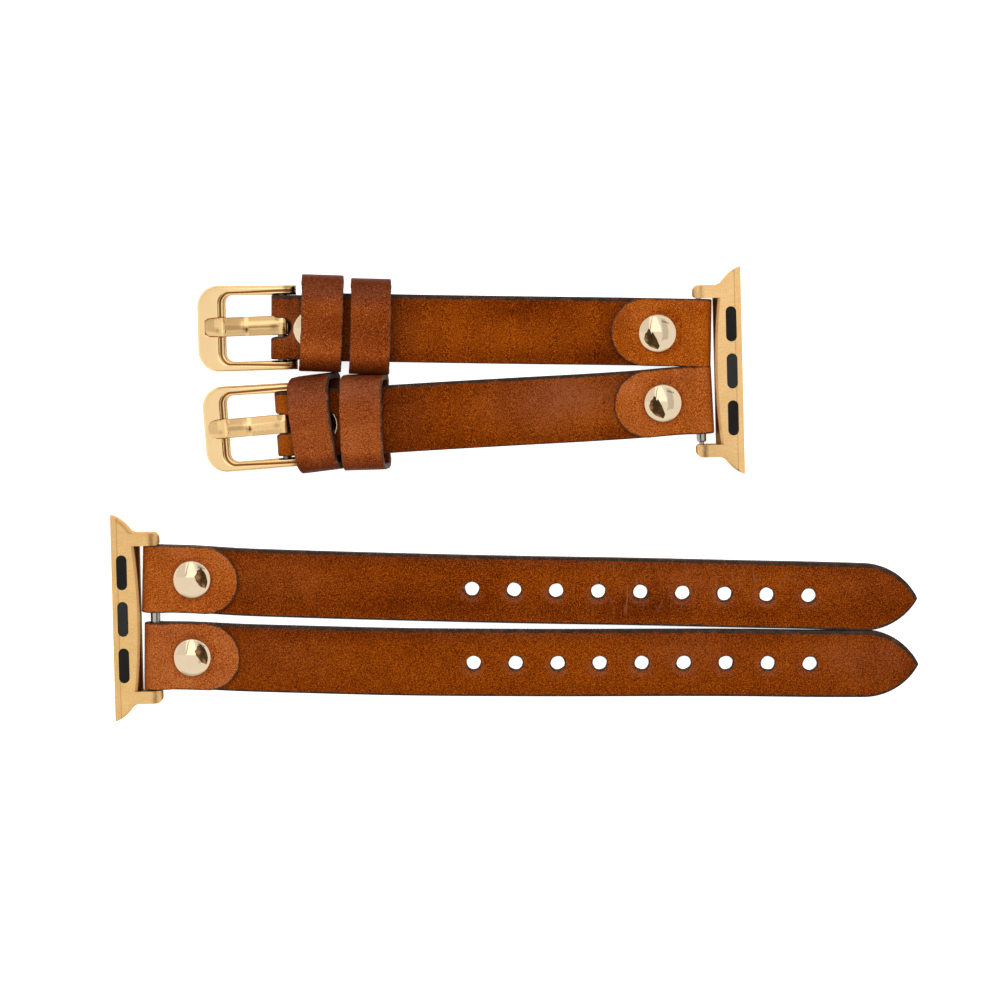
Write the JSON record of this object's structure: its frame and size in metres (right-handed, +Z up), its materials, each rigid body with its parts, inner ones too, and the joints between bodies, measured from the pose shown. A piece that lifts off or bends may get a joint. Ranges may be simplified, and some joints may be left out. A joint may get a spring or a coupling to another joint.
{
  "type": "two-strand leather watch band",
  "caption": "Two-strand tan leather watch band laid flat in two halves: slide-in gold case adapters with sprung bars, riveted straps, pin buckles with leather keepers, punched pointed ends.",
  "frame": {"origin": "middle of the whole layout at table level", "axes": "+X along the straps, from the buckles towards the pointed ends; +Y across the straps, towards the buckle half; +Z up from the table, out of the grain side"},
  "size_m": [0.1272, 0.0718, 0.0074],
  "materials": {
    "gold_satin": "satin gold plating",
    "gold_polished": "polished pale gold plating",
    "steel": "plain steel",
    "leather_skin": "aniline finished grain leather",
    "leather_lining": "grain leather, tab side finished",
    "leather_keeper": "aniline finished grain leather",
    "rubber": "matt black rubber",
    "latch_black": "gloss black coating"
  },
  "bodies": {
    "short_adapter": {"short_adapter": "gold_satin", "short_pads": "rubber", "short_latch_spring": "steel"},
    "short_latch": {"short_latch": "latch_black"},
    "short_bar": {"short_bar_tube": "steel", "short_bar_spring": "steel"},
    "short_bar_tip_1": {"short_bar_tip_1": "steel"},
    "short_bar_tip_2": {"short_bar_tip_2": "steel"},
    "short_strap_1": {"short_lining_1": "leather_lining", "short_skin_1": "leather_skin", "short_lug_cap_1": "gold_polished", "short_lug_base_1": "steel", "short_end_cap_1": "gold_polished", "short_end_base_1": "steel"},
    "short_strap_2": {"short_lining_2": "leather_lining", "short_skin_2": "leather_skin", "short_lug_cap_2": "gold_polished", "short_lug_base_2": "steel", "short_end_cap_2": "gold_polished", "short_end_base_2": "steel"},
    "long_adapter": {"long_adapter": "gold_satin", "long_pads": "rubber", "long_latch_spring": "steel"},
    "long_latch": {"long_latch": "latch_black"},
    "long_bar": {"long_bar_tube": "steel", "long_bar_spring": "steel"},
    "long_bar_tip_1": {"long_bar_tip_1": "steel"},
    "long_bar_tip_2": {"long_bar_tip_2": "steel"},
    "long_strap_1": {"long_lining_1": "leather_lining", "long_skin_1": "leather_skin", "long_lug_cap_1": "gold_polished", "long_lug_base_1": "steel"},
    "long_strap_2": {"long_lining_2": "leather_lining", "long_skin_2": "leather_skin", "long_lug_cap_2": "gold_polished", "long_lug_base_2": "steel"},
    "buckle_1": {"buckle_frame_1": "gold_polished", "buckle_bar_1": "steel"},
    "tang_1": {"buckle_tang_1": "gold_polished"},
    "keeper_1a": {"keeper_1a": "leather_keeper"},
    "keeper_1b": {"keeper_1b": "leather_keeper"},
    "buckle_2": {"buckle_frame_2": "gold_polished", "buckle_bar_2": "steel"},
    "tang_2": {"buckle_tang_2": "gold_polished"},
    "keeper_2a": {"keeper_2a": "leather_keeper"},
    "keeper_2b": {"keeper_2b": "leather_keeper"}
  },
  "joints": [
    {"name": "short_latch_press", "type": "slide", "parent": "short_adapter", "child": "short_latch", "axis": [0, 0, -1], "range_m": [0, 0.0008], "stiffness_N_per_m": 50, "springref_m": -0.001, "deforming": ["short_latch_spring"]},
    {"name": "short_bar_turn", "type": "hinge", "parent": "short_adapter", "child": "short_bar", "pos_m": [0.029, 0.01937, 0.00195], "axis": [-0.0279, 0.9996, 0], "continuous": true},
    {"name": "short_bar_tip_1_press", "type": "slide", "parent": "short_bar", "child": "short_bar_tip_1", "axis": [0.0279, -0.9996, 0], "range_m": [0, 0.0009], "stiffness_N_per_m": 20, "springref_m": -0.002, "deforming": ["short_bar_spring"]},
    {"name": "short_bar_tip_2_press", "type": "slide", "parent": "short_bar", "child": "short_bar_tip_2", "axis": [-0.0279, 0.9996, 0], "range_m": [0, 0.0009], "stiffness_N_per_m": 20, "springref_m": -0.002},
    {"name": "short_strap_1_swing", "type": "hinge", "parent": "short_adapter", "child": "short_strap_1", "pos_m": [0.02884, 0.02522, 0.00195], "axis": [-0.0279, 0.9996, 0], "range_deg": [-90, 80]},
    {"name": "short_strap_2_swing", "type": "hinge", "parent": "short_adapter", "child": "short_strap_2", "pos_m": [0.02914, 0.01447, 0.00195], "axis": [-0.0279, 0.9996, 0], "range_deg": [-90, 80]},
    {"name": "long_latch_press", "type": "slide", "parent": "long_adapter", "child": "long_latch", "axis": [0, 0, -1], "range_m": [0, 0.0008], "stiffness_N_per_m": 50, "springref_m": -0.001, "deforming": ["long_latch_spring"]},
    {"name": "long_bar_turn", "type": "hinge", "parent": "long_adapter", "child": "long_bar", "pos_m": [-0.05659, -0.01943, 0.00195], "axis": [0.0192, -0.9998, 0], "continuous": true},
    {"name": "long_bar_tip_1_press", "type": "slide", "parent": "long_bar", "child": "long_bar_tip_1", "axis": [-0.0192, 0.9998, 0], "range_m": [0, 0.0009], "stiffness_N_per_m": 20, "springref_m": -0.002, "deforming": ["long_bar_spring"]},
    {"name": "long_bar_tip_2_press", "type": "slide", "parent": "long_bar", "child": "long_bar_tip_2", "axis": [0.0192, -0.9998, 0], "range_m": [0, 0.0009], "stiffness_N_per_m": 20, "springref_m": -0.002},
    {"name": "long_strap_1_swing", "type": "hinge", "parent": "long_adapter", "child": "long_strap_1", "pos_m": [-0.05671, -0.01338, 0.00195], "axis": [0.0192, -0.9998, 0], "range_deg": [-90, 80]},
    {"name": "long_strap_2_swing", "type": "hinge", "parent": "long_adapter", "child": "long_strap_2", "pos_m": [-0.05648, -0.02558, 0.00195], "axis": [0.0192, -0.9998, 0], "range_deg": [-90, 80]},
    {"name": "buckle_1_swing", "type": "hinge", "parent": "short_strap_1", "child": "buckle_1", "pos_m": [-0.03636, 0.02605, 0.00278], "axis": [-0.003, 1, -0.0005], "range_deg": [-70, 20]},
    {"name": "tang_1_lift", "type": "hinge", "parent": "buckle_1", "child": "tang_1", "pos_m": [-0.03636, 0.02625, 0.00278], "axis": [-0.003, 1, -0.0005], "range_deg": [0, 65]},
    {"name": "keeper_1a_slide", "type": "slide", "parent": "short_strap_1", "child": "keeper_1a", "axis": [0.9993, -0.0127, -0.0349], "range_m": [-0.0003, 0.015]},
    {"name": "keeper_1b_slide", "type": "slide", "parent": "keeper_1a", "child": "keeper_1b", "axis": [0.9993, -0.0127, -0.0349], "range_m": [-0.0008, 0.015]},
    {"name": "buckle_2_swing", "type": "hinge", "parent": "short_strap_2", "child": "buckle_2", "pos_m": [-0.03596, 0.01072, 0.00278], "axis": [-0.068, 0.9977, -0.0003], "range_deg": [-70, 10]},
    {"name": "tang_2_lift", "type": "hinge", "parent": "buckle_2", "child": "tang_2", "pos_m": [-0.03597, 0.01087, 0.00278], "axis": [-0.068, 0.9977, -0.0003], "range_deg": [0, 60]},
    {"name": "keeper_2a_slide", "type": "slide", "parent": "short_strap_2", "child": "keeper_2a", "axis": [0.9977, 0.0575, -0.0349], "range_m": [-0.0001, 0.0007]},
    {"name": "keeper_2b_slide", "type": "slide", "parent": "keeper_2a", "child": "keeper_2b", "axis": [0.9977, 0.0575, -0.0349], "range_m": [-0.0001, 0.0008]},
    {"name": "long_half_lift", "type": "slide", "parent": "short_adapter", "child": "long_adapter", "axis": [0, 0, 1], "range_m": [0, 0.03]}
  ]
}
